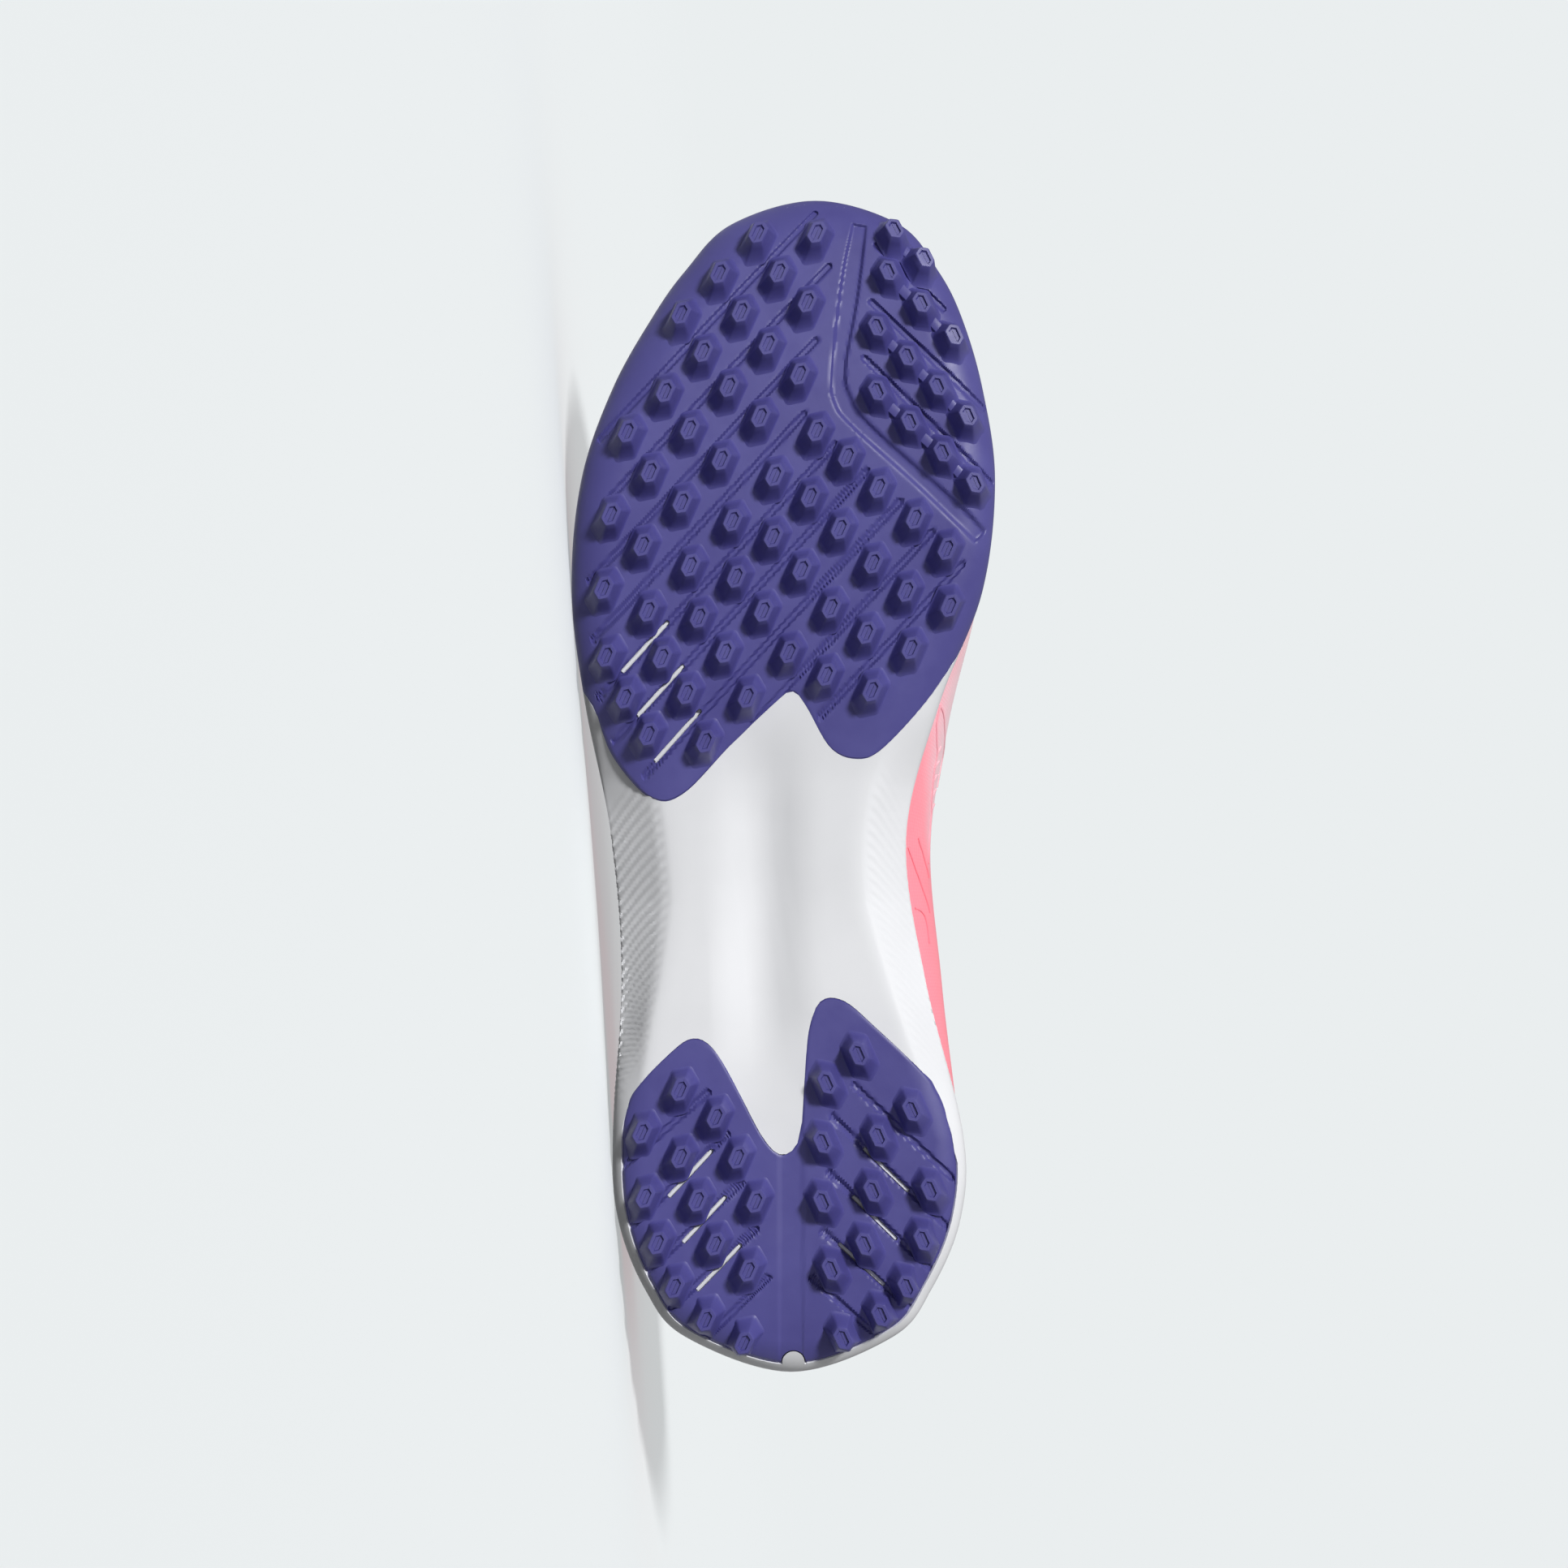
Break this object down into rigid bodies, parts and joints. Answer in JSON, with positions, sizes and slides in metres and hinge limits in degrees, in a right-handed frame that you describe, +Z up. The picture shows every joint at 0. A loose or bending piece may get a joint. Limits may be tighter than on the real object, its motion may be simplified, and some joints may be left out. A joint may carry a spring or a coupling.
{
  "type": "football turf shoe",
  "caption": "Right low-cut lace-up football shoe for artificial turf, lying on its outer side, with a lugged rubber outsole, white foam midsole and coral knit upper.",
  "frame": {"origin": "middle of the bounding box on the floor that the shoe lies on", "axes": "-X runs towards the toe, -Y the way the sole faces, +Z up, from the outer side that lies on the floor to the inner side of the foot"},
  "size_m": [0.2868, 0.1128, 0.1052],
  "materials": {
    "outsole_rubber": "matt moulded purple rubber",
    "midsole_foam": "satin white moulded foam",
    "upper_knit": "coral knit fading to pale pink",
    "tongue_knit": "pale pink padded knit",
    "insole_fabric": "brushed purple fabric",
    "lace_weave": "flat woven white lace"
  },
  "bodies": {
    "root": {"outsole_forefoot": "outsole_rubber", "outsole_heel": "outsole_rubber", "midsole": "midsole_foam", "upper": "upper_knit", "tongue": "tongue_knit", "insole": "insole_fabric", "laces": "lace_weave"}
  },
  "joints": []
}
